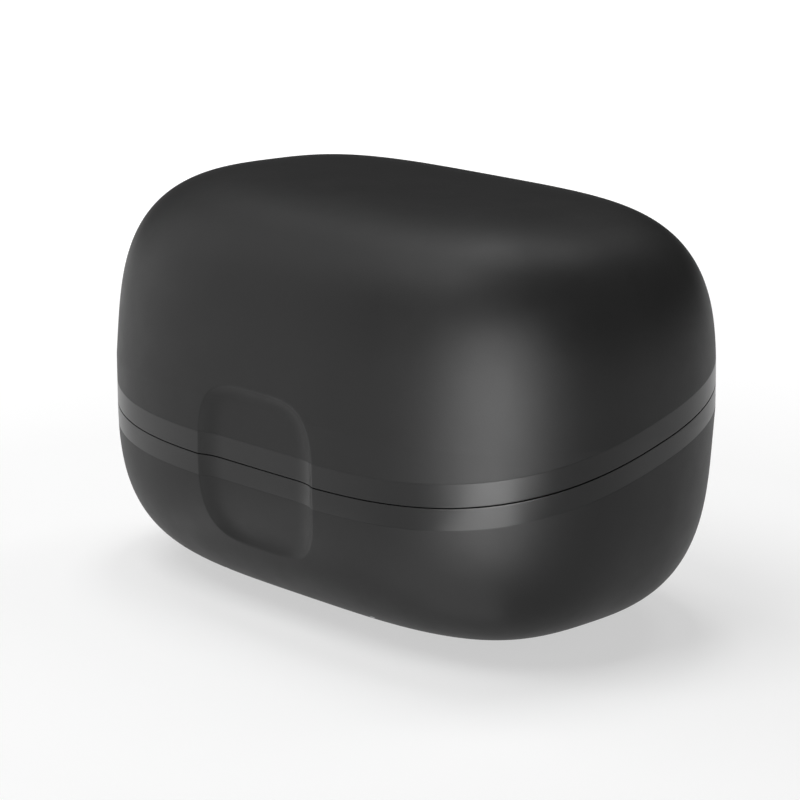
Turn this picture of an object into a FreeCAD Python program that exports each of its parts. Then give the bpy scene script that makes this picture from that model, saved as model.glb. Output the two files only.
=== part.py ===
import FreeCAD, Part
import math
import os

# Portable clamshell charger for two hearing aids. Sizes are in millimetres.
# X runs along the case, +Y points to the hinge, +Z is up, and the origin is the
# middle of the resting face of the foot pad.

# Outside of the closed case
case_length = 100.0
case_depth = 67.8
widest_height = 34.5
lid_rise = 31.5
end_exponent = 3.5
side_exponent = 2.4
crown_exponent = 3.7
lid_draft = 0.039
lid_shoulder = 28.7
lid_shoulder_exponent = 3.1
lid_end_taper = 1.126
base_draft = 0.03
base_shoulder = 28.8
base_shoulder_exponent = 2.95
base_end_taper = 1.03
shoulder_steps = 10
quarter_steps_along = 6
quarter_steps_across = 5

# Parting plane, which rises towards the hinge
seam_height = 33.3
seam_tilt = 14.1
seam_gap = 0.25
lid_band_height = 3.5
base_band_height = 3.35

# Walls
wall = 2.0
skirt_clearance = 0.15
skirt_wall = 1.5
skirt_height = 5.0
ledge_width = 1.3
lid_ledge_thickness = 1.8
base_ledge_thickness = 1.2
fit_gap = 0.25
floor_height = 2.8
base_trim = 0.4
seam_rounds = 6

# Finger scoop across the parting line
scoop_width = 24.7
scoop_height = 25.2
scoop_corner = 7.0
scoop_depth = 0.9
scoop_cove = 6.5
scoop_drop = 0.35

# Hinge
hinge_inset = 1.0
barrel_radius = 2.3
barrel_clearance = 0.25
hinge_half_length = 18.0
relief_radius = 1.4
relief_half_length = 25.0
centre_knuckle_half_length = 4.0
outer_knuckle_length = 4.5
knuckle_gap = 0.3
hinge_web_reach = 3.3
hinge_web_front = 1.2
hinge_web_back = 0.1
pin_radius = 1.0
pin_recess = 0.5
pin_running_clearance = 0.05
pin_press_clearance = 0.01

# Closing magnets
magnet_radius = 2.0
magnet_height = 2.0
magnet_spread = 22.0
magnet_boss_wall = 1.2
magnet_skin = 0.4
magnet_clearance = 0.05
magnet_boss_height = 4.0
magnet_setback = 5.6

# Liner in the lid
liner_wall = 1.2
liner_ceiling = 14.0
keeper_width = 12.0
keeper_depth = 20.0
keeper_thickness = 2.6
keeper_corner = 4.0
keeper_rib_height = 0.6
keeper_rib_width = 1.2
keeper_rib_spacing = 3.0
keeper_rib_count = 5

# Deck
deck_drop = 2.0
deck_thickness = 3.0

# Swappable tray for one hearing aid
tray_inner_edge = 2.2
tray_length = 40.3
tray_depth = 32.0
tray_corner = 8.0
tray_flange = 1.2
tray_wall = 1.2
tray_gap = 0.15
port_offset = 10.7
port_width = 11.0
port_length = 22.0
port_corner = 5.0
port_depth = 14.0
port_bottom_round = 2.0
bowl_offset = 32.0
bowl_half_width = 7.5
bowl_half_length = 12.0
bowl_depth = 9.5
bowl_bottom_round = 3.0
groove_width = 3.0
groove_depth = 0.7
groove_place = 6.0

# Spring contacts in the ports
contact_spacing = 6.0
contact_barrel_radius = 1.1
contact_bore_radius = 0.75
contact_tip_radius = 0.5
contact_shoulder_height = 0.9
contact_lip = 0.4
contact_standout = 1.6
contact_travel = 1.0
rest_gap = 0.1
contact_sink = 0.4
contact_tip_round = 0.3
contact_running_clearance = 0.05
contact_board_gap = 2.0
contact_board_thickness = 0.8
contact_board_length = 33.0
contact_board_depth = 15.0
contact_post_radius = 2.2
contact_post_spread = 4.5

# Small self-tapping screws under the deck
small_screw_radius = 0.7
small_screw_length = 5.0
small_head_radius = 1.4
small_head_height = 0.9
small_drive_radius = 0.5
small_drive_rest = 0.4
screw_clearance = 0.03
hole_clearance = 0.2

# Battery check button and its lamps
button_place = -24.3
button_radius = 3.4
button_standout = 0.4
button_dish = 0.3
button_rim = 0.5
button_flange_radius = 4.3
button_flange = 0.8
button_stem_radius = 1.2
button_stem_length = 0.8
button_travel = 0.4
button_clearance = 0.1
switch_width = 4.6
switch_height = 2.0
actuator_radius = 1.0
actuator_height = 1.3
actuator_standout = 0.6
actuator_clearance = 0.05
lamp_board_thickness = 0.8
lamp_board_length = 38.0
lamp_board_depth = 9.0
lamp_post_radius = 2.0
lamp_post_spread = 15.5
lamp_places = [-10.5, -7.0, 7.0, 10.5]
lamp_width = 1.6
lamp_depth = 0.8
lamp_height = 0.6
guide_radius = 0.9
guide_flange_radius = 1.4
guide_flange = 0.6
guide_clearance = 0.05
guide_lamp_gap = 0.2

# Battery and main board on the floor of the base
tape_thickness = 0.4
tape_margin = 3.0
cell_length = 33.0
cell_depth = 28.0
cell_height = 5.2
cell_corner = 1.5
board_height = 9.2
board_thickness = 1.0
board_half_length = 33.0
board_front = -19.0
board_margin = 0.6

# Steel weight in the front of the base, which keeps the open charger standing
weight_length = 56.0
weight_back = -19.8
weight_low = 6.0
weight_top = 13.5
weight_screw_spread = 16.0
weight_screw_place = -22.4
weight_screw_length = 10.2
weight_boss_radius = 3.0

# Posts and long screws that hold the deck to the base
post_spread_along = 20.4
post_spread_across = 9.0
post_radius = 2.8
base_post_radius = 3.5
screw_radius = 1.1
screw_length = 18.0
screw_head_radius = 2.0
screw_head_height = 1.4
screw_head_depth = 0.2
screw_drive_radius = 0.7
screw_drive_depth = 0.7

# Foot pad
pad_margin = 0.9
pad_recess = 0.8

# Charging socket at the back
socket_width = 8.94
socket_height = 3.26
socket_length = 7.35
socket_shell = 0.3
socket_setback = 0.9
socket_gap = 0.25
socket_corner_share = 0.45
socket_tongue_width = 6.69
socket_tongue_height = 0.7
socket_tongue_length = 4.45
socket_core_length = 1.6
plug_recess_width = 12.6
plug_recess_height = 6.8
plug_recess_depth = 0.6

# Parts on the main board: length, depth, height and place of each
charge_chip = (5.0, 5.0, 0.9, 8.5, 17.0)
power_coil = (4.2, 4.2, 1.8, -8.5, 17.5)
controller_chip = (7.0, 7.0, 1.0, 0.0, -12.0)
cell_header = (6.0, 3.4, 1.4, -25.0, 15.0)
lamp_header = (5.0, 2.6, 1.2, -24.0, -15.0)
contact_header = (7.0, 2.6, 1.2, 25.0, 15.0)

# Worked out from the sizes above
half_length = case_length / 2
half_depth = case_depth / 2
case_height = widest_height + lid_rise
tilt_cos = math.cos(math.radians(seam_tilt))
tilt_sin = math.sin(math.radians(seam_tilt))
half_gap = seam_gap / 2
skirt_outer = wall + skirt_clearance
skirt_inner = skirt_outer + skirt_wall
skirt_middle = (skirt_outer + skirt_inner) / 2
ledge_inner = skirt_inner + ledge_width
inside = skirt_inner + fit_gap
lid_ledge_top = half_gap + lid_ledge_thickness
deck_top = -deck_drop
deck_bottom = deck_top - deck_thickness
port_floor = deck_top - port_depth
port_underside = port_floor - tray_wall
contact_board_top = port_underside - contact_board_gap
contact_board_bottom = contact_board_top - contact_board_thickness
board_top = board_height + board_thickness
beyond = case_length
overshoot = 1.0
edge_tolerance = 0.01

top = FreeCAD.Vector(0, 0, 1)
along = FreeCAD.Vector(1, 0, 0)


# The case: level outlines and the lofts through them
def shoulder_inset(rise, height, draft, shoulder, exponent):
    run = max(0.0, min(1.0, (rise - (height - shoulder)) / shoulder))
    return draft * rise + shoulder * (1 - (1 - run ** exponent) ** (1 / exponent))


def outline(level, length, depth, ends, sides):
    quarter = []
    split_x = length * 0.5 ** (1 / ends)
    split_y = depth * 0.5 ** (1 / sides)
    for step in range(quarter_steps_along):
        x = split_x * step / quarter_steps_along
        y = depth * (1 - (x / length) ** ends) ** (1 / sides)
        quarter.append((x, y))
    for step in range(quarter_steps_across):
        y = split_y * (1 - step / quarter_steps_across)
        x = length * (1 - (y / depth) ** sides) ** (1 / ends)
        quarter.append((x, y))
    points = [(x, y) for x, y in quarter]
    points.append((length, 0.0))
    points += [(x, -y) for x, y in reversed(quarter)]
    points += [(-x, -y) for x, y in quarter[1:]]
    points.append((-length, 0.0))
    points += [(-x, y) for x, y in reversed(quarter[1:])]
    curve = Part.BSplineCurve()
    vectors = [FreeCAD.Vector(x, y, level) for x, y in points]
    spacing = [float(place) for place in range(len(vectors) + 1)]
    curve.interpolate(Points=vectors, PeriodicFlag=True, Parameters=spacing)
    return Part.Wire([curve.toShape()])


def half_levels(offset, height, draft, shoulder, exponent, taper):
    inner_height = height - offset
    inner_shoulder = shoulder - offset
    whole = draft * inner_height + inner_shoulder
    levels = []
    for step in range(1, shoulder_steps + 1):
        angle = math.radians(90 * step / shoulder_steps)
        rise = inner_height - inner_shoulder * (1 - math.sin(angle) ** (2 / exponent))
        inset = draft * rise + inner_shoulder * (1 - max(math.cos(angle), 0.0) ** (2 / exponent))
        share = inset / whole
        ends = end_exponent + (crown_exponent - end_exponent) * share
        sides = side_exponent + (crown_exponent - side_exponent) * share
        levels.append((rise, half_length - offset - taper * inset, half_depth - offset - inset, ends, sides))
    return levels


def case_solid(offset):
    lower = half_levels(offset, widest_height, base_draft, base_shoulder, base_shoulder_exponent, base_end_taper)
    upper = half_levels(offset, lid_rise, lid_draft, lid_shoulder, lid_shoulder_exponent, lid_end_taper)
    wires = []
    for rise, length, depth, ends, sides in reversed(lower):
        wires.append(outline(widest_height - rise, length, depth, ends, sides))
    wires.append(outline(widest_height, half_length - offset, half_depth - offset, end_exponent, side_exponent))
    for rise, length, depth, ends, sides in upper:
        wires.append(outline(widest_height + rise, length, depth, ends, sides))
    return Part.makeLoft(wires, True, False)


def base_half_depth(level, offset):
    rise = widest_height - level
    inset = shoulder_inset(rise, widest_height - offset, base_draft, base_shoulder - offset, base_shoulder_exponent)
    return half_depth - offset - inset


# Shapes that lie square to the parting plane or to the table
def tilted(shape):
    placed = shape.copy()
    placed.rotate(FreeCAD.Vector(0, 0, 0), along, seam_tilt)
    placed.translate(FreeCAD.Vector(0, 0, seam_height))
    return placed


def block(width, depth, low, high, x, y):
    corner = FreeCAD.Vector(x - width / 2, y - depth / 2, low)
    return Part.makeBox(width, depth, high - low, corner)


def disc(radius, low, high, x, y):
    return Part.makeCylinder(radius, high - low, FreeCAD.Vector(x, y, low), top)


def rod(radius, start, end, y, z):
    return Part.makeCylinder(radius, end - start, FreeCAD.Vector(start, y, z), along)


def rounded_block(width, depth, corner, low, high, x, y):
    solid = block(width, depth, low, high, x, y)
    upright = [edge for edge in solid.Edges if edge.BoundBox.ZLength > (high - low) / 2]
    return solid.makeFillet(corner, upright)


def oval_block(half_width, half_reach, low, high, x, y):
    if half_width > half_reach:
        curve = Part.Ellipse(FreeCAD.Vector(x, y, low), half_width, half_reach)
    else:
        tip = FreeCAD.Vector(x, y + half_reach, low)
        side = FreeCAD.Vector(x - half_width, y, low)
        curve = Part.Ellipse(tip, side, FreeCAD.Vector(x, y, low))
    face = Part.Face(Part.Wire([curve.toShape()]))
    return face.extrude(FreeCAD.Vector(0, 0, high - low))


def bottom_rounded(solid, radius):
    low = solid.BoundBox.ZMin
    rim = [edge for edge in solid.Edges if edge.BoundBox.ZMax < low + edge_tolerance]
    return solid.makeFillet(radius, rim)


def slab(low, high):
    return tilted(block(2 * beyond, 2 * beyond, low, high, 0, 0))


def ring(outside, hollow, low, high):
    return outside.common(slab(low, high)).cut(hollow)


def seam_reach(side):
    reach = side * half_depth
    for _ in range(seam_rounds):
        level = seam_height + reach * tilt_sin / tilt_cos
        if level > widest_height:
            inset = shoulder_inset(level - widest_height, lid_rise, lid_draft, lid_shoulder, lid_shoulder_exponent)
        else:
            inset = half_depth - base_half_depth(level, 0)
        reach = side * (half_depth - inset)
    return reach / tilt_cos


case = {}
for size in (0.0, wall, skirt_outer, skirt_middle, skirt_inner, ledge_inner, inside, inside + liner_wall,
             scoop_depth, wall + board_margin):
    case[size] = case_solid(size)


# Finger scoop: a rounded recess whose floor follows the case wall
def scoop_tool():
    run = math.sqrt(2 * scoop_cove * scoop_depth - scoop_depth ** 2)
    margin = scoop_cove - run
    centre = seam_height + seam_reach(-1) * tilt_sin - scoop_drop
    blank = rounded_block(scoop_width + 2 * margin, scoop_height + 2 * margin, scoop_corner + margin,
                          0, half_depth, 0, 0)
    blank.rotate(FreeCAD.Vector(0, 0, 0), along, 90)
    blank.translate(FreeCAD.Vector(0, -scoop_cove, centre))
    pieces_left = blank.cut(case[scoop_depth]).Solids
    tool = min(pieces_left, key=lambda piece: piece.CenterOfMass.y)
    rim = [edge for edge in tool.Edges if edge.BoundBox.YMin > -half_depth - scoop_depth]
    return tool.makeFillet(scoop_cove, rim)


scoop = scoop_tool()


# Hinge on the parting plane, with knuckles of the lid between those of the base
hinge_place = seam_reach(1) - hinge_inset
lid_knuckle_start = centre_knuckle_half_length + knuckle_gap
lid_knuckle_end = hinge_half_length - outer_knuckle_length - knuckle_gap
outer_knuckle_start = hinge_half_length - outer_knuckle_length
lid_knuckles = [(-lid_knuckle_end, -lid_knuckle_start), (lid_knuckle_start, lid_knuckle_end)]
base_knuckles = [
    (-hinge_half_length, -outer_knuckle_start),
    (-centre_knuckle_half_length, centre_knuckle_half_length),
    (outer_knuckle_start, hinge_half_length),
]


def hinge_room():
    reach = hinge_half_length + knuckle_gap
    room = rod(barrel_radius + barrel_clearance, -reach, reach, hinge_place, 0)
    relief = rod(relief_radius, -relief_half_length, relief_half_length, hinge_place, 0)
    return tilted(room.fuse(relief))


skin = case[0.0].cut([scoop, hinge_room()])
ledge_stock = case[skirt_middle].cut(hinge_room())


def knuckle_solids(knuckles, low, high):
    solids = []
    for start, end in knuckles:
        barrel = rod(barrel_radius, start, end, hinge_place, 0)
        corner = FreeCAD.Vector(start, hinge_place - hinge_web_front, low)
        web = Part.makeBox(end - start, hinge_web_front + hinge_web_back, high - low, corner)
        solids.append(tilted(barrel.fuse(web)))
    return solids


def pin_hole(radius):
    reach = hinge_half_length + knuckle_gap
    return tilted(rod(radius, -reach, reach, hinge_place, 0))


def hinge_pin():
    return tilted(rod(pin_radius, pin_recess - hinge_half_length, hinge_half_length - pin_recess, hinge_place, 0))


# Magnets behind the front corners of both rims
magnet_place = seam_reach(-1) + magnet_setback
magnet_spots = [(-magnet_spread, magnet_place), (magnet_spread, magnet_place)]
magnet_low = half_gap + magnet_skin


def magnet_bosses(side):
    ends = sorted((side * half_gap, side * magnet_boss_height))
    bosses = [disc(magnet_radius + magnet_boss_wall, ends[0], ends[1], x, y) for x, y in magnet_spots]
    return [tilted(boss).common(case[wall]) for boss in bosses]


def magnet_pockets(side):
    ends = sorted((side * magnet_low, side * (magnet_boss_height + magnet_skin)))
    radius = magnet_radius + magnet_clearance
    return [tilted(disc(radius, ends[0], ends[1], x, y)) for x, y in magnet_spots]


def rim(side, band_height, ledge, knuckles, pin_clearance):
    band = sorted((side * half_gap, side * band_height))
    skirt = sorted((side * band_height, side * (band_height + skirt_height)))
    shelf = sorted((side * ledge[0], side * ledge[1]))
    web = sorted((0, side * hinge_web_reach))
    solid = skin.common(slab(band[0], band[1])).fuse(case[skirt_outer].common(slab(skirt[0], skirt[1])))
    solid = solid.cut(case[skirt_inner])
    solid = solid.fuse(ring(ledge_stock, case[ledge_inner], shelf[0], shelf[1]))
    solid = solid.fuse(magnet_bosses(side)).fuse(knuckle_solids(knuckles, web[0], web[1]))
    return solid.cut(magnet_pockets(side) + [pin_hole(pin_radius + pin_clearance)])


def magnet_boss_room(side):
    room = []
    for x, y in magnet_spots:
        ends = sorted((0, side * (magnet_boss_height + fit_gap)))
        room.append(tilted(disc(magnet_radius + magnet_boss_wall + fit_gap, ends[0], ends[1], x, y)))
    return room


def magnets(side):
    ends = sorted((side * magnet_low, side * (magnet_low + magnet_height)))
    return Part.makeCompound([tilted(disc(magnet_radius, ends[0], ends[1], x, y)) for x, y in magnet_spots])


# Lid: matte outer shell, glossy rim with the hinge, liner and two keepers
def lid_shell():
    return ring(skin, case[wall], lid_band_height, beyond)


def lid_rim():
    return rim(1, lid_band_height, (half_gap, lid_ledge_top), lid_knuckles, pin_running_clearance)


def lid_liner():
    solid = case[inside].common(slab(lid_ledge_top, liner_ceiling + liner_wall))
    solid = solid.cut(case[inside + liner_wall].common(slab(-beyond, liner_ceiling)))
    for room in magnet_boss_room(1):
        solid = solid.cut(room)
    return solid.cut(hinge_room())


def keeper(side):
    low = liner_ceiling - keeper_thickness
    pad = rounded_block(keeper_width, keeper_depth, keeper_corner, low, liner_ceiling, side * port_offset, 0)
    for step in range(keeper_rib_count):
        y = (step - (keeper_rib_count - 1) / 2) * keeper_rib_spacing
        width = keeper_width - 2 * keeper_rib_width
        pad = pad.fuse(block(width, keeper_rib_width, low - keeper_rib_height, low, side * port_offset, y))
    return tilted(pad)


# Base: matte outer shell, glossy rim with the hinge, foot pad
foot_inset = half_depth - base_half_depth(base_trim, 0)
foot_share = foot_inset / (base_draft * widest_height + base_shoulder)
foot_ends = end_exponent + (crown_exponent - end_exponent) * foot_share
foot_sides = side_exponent + (crown_exponent - side_exponent) * foot_share
recess_top = base_trim + pad_recess


def foot_block(margin, low, high):
    length = half_length - base_end_taper * foot_inset - margin
    depth = half_depth - foot_inset - margin
    face = Part.Face(outline(low, length, depth, foot_ends, foot_sides))
    return face.extrude(FreeCAD.Vector(0, 0, high - low))


def foot_pad():
    return foot_block(pad_margin, 0, recess_top)


def post_spots():
    return [(x, y) for x in (-post_spread_along, post_spread_along)
            for y in (-post_spread_across, post_spread_across)]


weight_screw_spots = [(-weight_screw_spread, weight_screw_place), (weight_screw_spread, weight_screw_place)]


def base_shell():
    hollow = case[wall].common(block(2 * beyond, 2 * beyond, floor_height, beyond, 0, 0))
    solid = ring(skin, hollow, -beyond, -base_band_height)
    solid = solid.common(block(2 * beyond, 2 * beyond, base_trim, beyond, 0, 0))
    solid = solid.fuse([disc(base_post_radius, recess_top, board_height, x, y) for x, y in post_spots()])
    for x, y in weight_screw_spots:
        solid = solid.fuse(disc(weight_boss_radius, 0, weight_low, x, y).common(case[scoop_depth]))
    rooms = [foot_block(pad_margin - skirt_clearance, -overshoot, recess_top)]
    rooms += [disc(screw_head_radius + hole_clearance, 0, screw_seat, x, y) for x, y in post_spots()]
    rooms += [disc(screw_radius + hole_clearance, 0, board_height + overshoot, x, y) for x, y in post_spots()]
    low = weight_top - weight_screw_length
    rooms += [disc(screw_radius + screw_clearance, low, weight_low + overshoot, x, y)
              for x, y in weight_screw_spots]
    opening = socket_block(socket_width + 2 * socket_gap, socket_height + 2 * socket_gap, beyond, socket_inner)
    seat = socket_block(plug_recess_width, plug_recess_height, beyond, socket_wall_face - plug_recess_depth)
    return solid.cut(rooms + [opening, seat])


def base_rim():
    ledge = (-deck_bottom, -deck_bottom + base_ledge_thickness)
    return rim(-1, base_band_height, ledge, base_knuckles, pin_press_clearance)


# Long screws from below, with their heads under the foot pad
screw_seat = recess_top + screw_head_depth + screw_head_height


def deck_screws():
    screws = []
    for x, y in post_spots():
        head = disc(screw_head_radius, screw_seat - screw_head_height, screw_seat, x, y)
        shank = disc(screw_radius, screw_seat, screw_seat + screw_length, x, y)
        drive_top = screw_seat - screw_head_height + screw_drive_depth
        drive = disc(screw_drive_radius, 0, drive_top, x, y)
        screws.append(head.fuse(shank).cut(drive))
    return Part.makeCompound(screws)


# Weight in the front of the base and its two screws
def balance_weight():
    depth = half_depth + weight_back
    blank = block(weight_length, depth, weight_low, weight_top, 0, weight_back - depth / 2)
    weight = case[wall + board_margin].common(blank)
    return weight.cut([disc(screw_radius + hole_clearance, 0, weight_top + overshoot, x, y)
                       for x, y in weight_screw_spots])


def weight_screws():
    screws = []
    for x, y in weight_screw_spots:
        head = disc(screw_head_radius, weight_top, weight_top + screw_head_height, x, y)
        shank = disc(screw_radius, weight_top - weight_screw_length + hole_clearance, weight_top, x, y)
        drive_low = weight_top + screw_head_height - screw_drive_depth
        drive = disc(screw_drive_radius, drive_low, weight_top + screw_head_height, x, y)
        screws.append(head.fuse(shank).cut(drive))
    return Part.makeCompound(screws)


# Deck under the lid
def tray_centre(side):
    return side * (tray_inner_edge + tray_length / 2)


def port_block(side, grow, low, high):
    corner = port_corner + grow
    return rounded_block(port_width + 2 * grow, port_length + 2 * grow, corner, low, high, side * port_offset, 0)


def bowl_block(side, grow, low, high):
    return oval_block(bowl_half_width + grow, bowl_half_length + grow, low, high, side * bowl_offset, 0)


def contact_spots(side):
    return [(side * port_offset, -contact_spacing / 2), (side * port_offset, contact_spacing / 2)]


contact_post_spots = [(0, -contact_post_spread), (0, contact_post_spread)]
lamp_post_spots = [(-lamp_post_spread, button_place), (lamp_post_spread, button_place)]
actuator_top = deck_bottom - button_flange - button_stem_length
switch_top = actuator_top - actuator_standout
lamp_board_top = switch_top - switch_height
lamp_board_bottom = lamp_board_top - lamp_board_thickness


def deck():
    blank = case[inside].common(slab(deck_bottom, deck_top))
    posts = []
    for x, y in post_spots():
        posts.append(disc(post_radius, board_top, case_height, x, y).common(slab(-beyond, deck_bottom)))
    for x, y in contact_post_spots:
        posts.append(tilted(disc(contact_post_radius, contact_board_top, deck_bottom, x, y)))
    for x, y in lamp_post_spots:
        posts.append(tilted(disc(lamp_post_radius, lamp_board_top, deck_bottom, x, y)))
    rooms = magnet_boss_room(-1)
    for side in (-1, 1):
        flange = rounded_block(tray_length + 2 * tray_gap, tray_depth + 2 * tray_gap, tray_corner + tray_gap,
                               deck_top - tray_flange, 0, tray_centre(side), 0)
        rooms.append(tilted(flange))
        rooms.append(tilted(port_block(side, tray_wall + tray_gap, deck_bottom - overshoot, deck_top)))
        rooms.append(tilted(bowl_block(side, tray_wall + tray_gap, deck_bottom - overshoot, deck_top)))
    screw_end = screw_seat + screw_length + hole_clearance
    rooms += [disc(screw_radius + screw_clearance, 0, screw_end, x, y) for x, y in post_spots()]
    rooms += [small_screw_hole(x, y, contact_board_top) for x, y in contact_post_spots]
    rooms += [small_screw_hole(x, y, lamp_board_top) for x, y in lamp_post_spots]
    rooms.append(tilted(disc(button_radius + button_clearance, deck_bottom, 0, 0, button_place)))
    radius = guide_radius + guide_clearance
    rooms += [tilted(disc(radius, deck_bottom, 0, x, button_place)) for x in lamp_places]
    return blank.fuse(posts).cut(rooms)


# Small screws that hold the two little boards to the posts of the deck
def small_screw_hole(x, y, seat):
    length = small_screw_length + hole_clearance
    return tilted(disc(small_screw_radius + screw_clearance, seat, seat + length, x, y))


def small_screws(spots, board_bottom):
    screws = []
    for x, y in spots:
        head = disc(small_head_radius, board_bottom - small_head_height, board_bottom, x, y)
        shank = disc(small_screw_radius, board_bottom, board_bottom + small_screw_length, x, y)
        drive = disc(small_drive_radius, board_bottom - small_head_height, board_bottom - small_drive_rest, x, y)
        screws.append(tilted(head.fuse(shank).cut(drive)))
    return Part.makeCompound(screws)


# Trays for the two hearing aids
def tray(side):
    flange = rounded_block(tray_length, tray_depth, tray_corner, deck_top - tray_flange, deck_top,
                           tray_centre(side), 0)
    port_outside = bottom_rounded(port_block(side, tray_wall, port_underside, deck_top), port_bottom_round)
    bowl_bottom = deck_top - bowl_depth
    bowl_outside = bowl_block(side, tray_wall, bowl_bottom - tray_wall, deck_top)
    bowl_outside = bottom_rounded(bowl_outside, bowl_bottom_round)
    solid = flange.fuse(port_outside).fuse(bowl_outside)
    solid = solid.cut(bottom_rounded(port_block(side, 0, port_floor, 0), port_bottom_round))
    solid = solid.cut(bottom_rounded(bowl_block(side, 0, bowl_bottom, 0), bowl_bottom_round))
    groove_span = bowl_offset - port_offset
    groove_centre = side * (bowl_offset + port_offset) / 2
    groove = block(groove_span, groove_width, deck_top - groove_depth, 0, groove_centre, groove_place)
    solid = solid.cut(groove)
    for x, y in contact_spots(side):
        radius = contact_barrel_radius + contact_running_clearance
        solid = solid.cut(disc(radius, port_underside - overshoot, port_floor + overshoot, x, y))
    return tilted(solid)


# Spring contacts on their board
contact_top = port_floor - contact_sink
contact_bore_high = contact_top - contact_lip
contact_bore_low = contact_bore_high - contact_shoulder_height - contact_travel - rest_gap


def contact_barrels(side):
    barrels = []
    for x, y in contact_spots(side):
        barrel = disc(contact_barrel_radius, contact_board_top, contact_top, x, y)
        barrel = barrel.cut(disc(contact_bore_radius, contact_bore_low, contact_bore_high, x, y))
        tip_hole = disc(contact_tip_radius + contact_running_clearance, contact_bore_high, contact_top, x, y)
        barrels.append(tilted(barrel.cut(tip_hole)))
    return Part.makeCompound(barrels)


def contact_plunger(spot):
    x, y = spot
    radius = contact_bore_radius - contact_running_clearance
    shoulder = disc(radius, contact_bore_high - contact_shoulder_height, contact_bore_high, x, y)
    tip = disc(contact_tip_radius, contact_bore_high, port_floor + contact_standout, x, y)
    tip_edges = [edge for edge in tip.Edges if edge.BoundBox.ZMin > port_floor + contact_standout - edge_tolerance]
    tip = tip.makeFillet(contact_tip_round, tip_edges)
    return tilted(shoulder.fuse(tip))


def contact_board():
    board = block(contact_board_length, contact_board_depth, contact_board_bottom, contact_board_top, 0, 0)
    for x, y in contact_post_spots:
        board = board.cut(disc(small_screw_radius + hole_clearance, contact_board_bottom, contact_board_top, x, y))
    return tilted(board)


# Battery check button, its switch and the lamps beside it
def check_button():
    cap_top = deck_top + button_standout
    cap = disc(button_radius, deck_bottom, cap_top, 0, button_place)
    dish_radius = button_radius - button_rim
    crown_radius = (dish_radius ** 2 + button_dish ** 2) / (2 * button_dish)
    dish_centre = FreeCAD.Vector(0, button_place, cap_top - button_dish + crown_radius)
    flange = disc(button_flange_radius, deck_bottom - button_flange, deck_bottom, 0, button_place)
    stem = disc(button_stem_radius, actuator_top, deck_bottom - button_flange, 0, button_place)
    solid = cap.cut(Part.makeSphere(crown_radius, dish_centre))
    return tilted(solid.fuse(flange).fuse(stem))


def switch_actuator():
    return tilted(disc(actuator_radius, actuator_top - actuator_height, actuator_top, 0, button_place))


def check_switch():
    body = block(switch_width, switch_width, lamp_board_top, switch_top, 0, button_place)
    well_bottom = actuator_top - actuator_height - button_travel - rest_gap
    well = disc(actuator_radius + actuator_clearance, well_bottom, switch_top, 0, button_place)
    return tilted(body.cut(well))


def lamp_board():
    board = block(lamp_board_length, lamp_board_depth, lamp_board_bottom, lamp_board_top, 0, button_place)
    for x, y in lamp_post_spots:
        board = board.cut(disc(small_screw_radius + hole_clearance, lamp_board_bottom, lamp_board_top, x, y))
    return tilted(board)


def lamps():
    bodies = []
    for x in lamp_places:
        bodies.append(tilted(block(lamp_width, lamp_depth, lamp_board_top, lamp_board_top + lamp_height,
                                   x, button_place)))
    return Part.makeCompound(bodies)


def light_guides():
    guides = []
    low = lamp_board_top + lamp_height + guide_lamp_gap
    for x in lamp_places:
        guide = disc(guide_radius, low, deck_top, x, button_place)
        flange = disc(guide_flange_radius, deck_bottom - guide_flange, deck_bottom, x, button_place)
        guides.append(tilted(guide.fuse(flange)))
    return Part.makeCompound(guides)


# Main board, cell and charging socket in the base
def main_board():
    width = 2 * board_half_length
    depth = beyond - board_front
    sheet = block(width, depth, board_height, board_top, 0, board_front + depth / 2)
    board = case[wall + board_margin].common(sheet)
    for x, y in post_spots():
        board = board.cut(disc(screw_radius + hole_clearance, board_height, board_top, x, y))
    return board


def cell_tape():
    length = cell_length - 2 * tape_margin
    depth = cell_depth - 2 * tape_margin
    return block(length, depth, floor_height, floor_height + tape_thickness, 0, 0)


def battery_cell():
    low = floor_height + tape_thickness
    return rounded_block(cell_length, cell_depth, cell_corner, low, low + cell_height, 0, 0)


def board_parts():
    bodies = []
    for width, depth, height, x, y in (charge_chip, power_coil, controller_chip, cell_header, lamp_header,
                                       contact_header):
        bodies.append(block(width, depth, board_top, board_top + height, x, y))
    return Part.makeCompound(bodies)


socket_centre = board_top + socket_height / 2
socket_wall_face = base_half_depth(socket_centre, 0)
socket_face = socket_wall_face - socket_setback
socket_inner = socket_face - socket_length


def socket_block(width, height, length, start):
    solid = rounded_block(width, height, height * socket_corner_share, 0, length, 0, 0)
    solid.rotate(FreeCAD.Vector(0, 0, 0), along, -90)
    solid.translate(FreeCAD.Vector(0, start, socket_centre))
    return solid


def socket_housing():
    outside = socket_block(socket_width, socket_height, socket_length, socket_inner)
    bore_width = socket_width - 2 * socket_shell
    bore_height = socket_height - 2 * socket_shell
    return outside.cut(socket_block(bore_width, bore_height, socket_length, socket_inner))


def socket_core():
    core_width = socket_width - 2 * socket_shell
    core_height = socket_height - 2 * socket_shell
    core = socket_block(core_width, core_height, socket_core_length, socket_inner)
    low = socket_centre - socket_tongue_height / 2
    start = socket_inner + socket_core_length
    tongue = block(socket_tongue_width, socket_tongue_length, low, low + socket_tongue_height,
                   0, start + socket_tongue_length / 2)
    return core.fuse(tongue)


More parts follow.
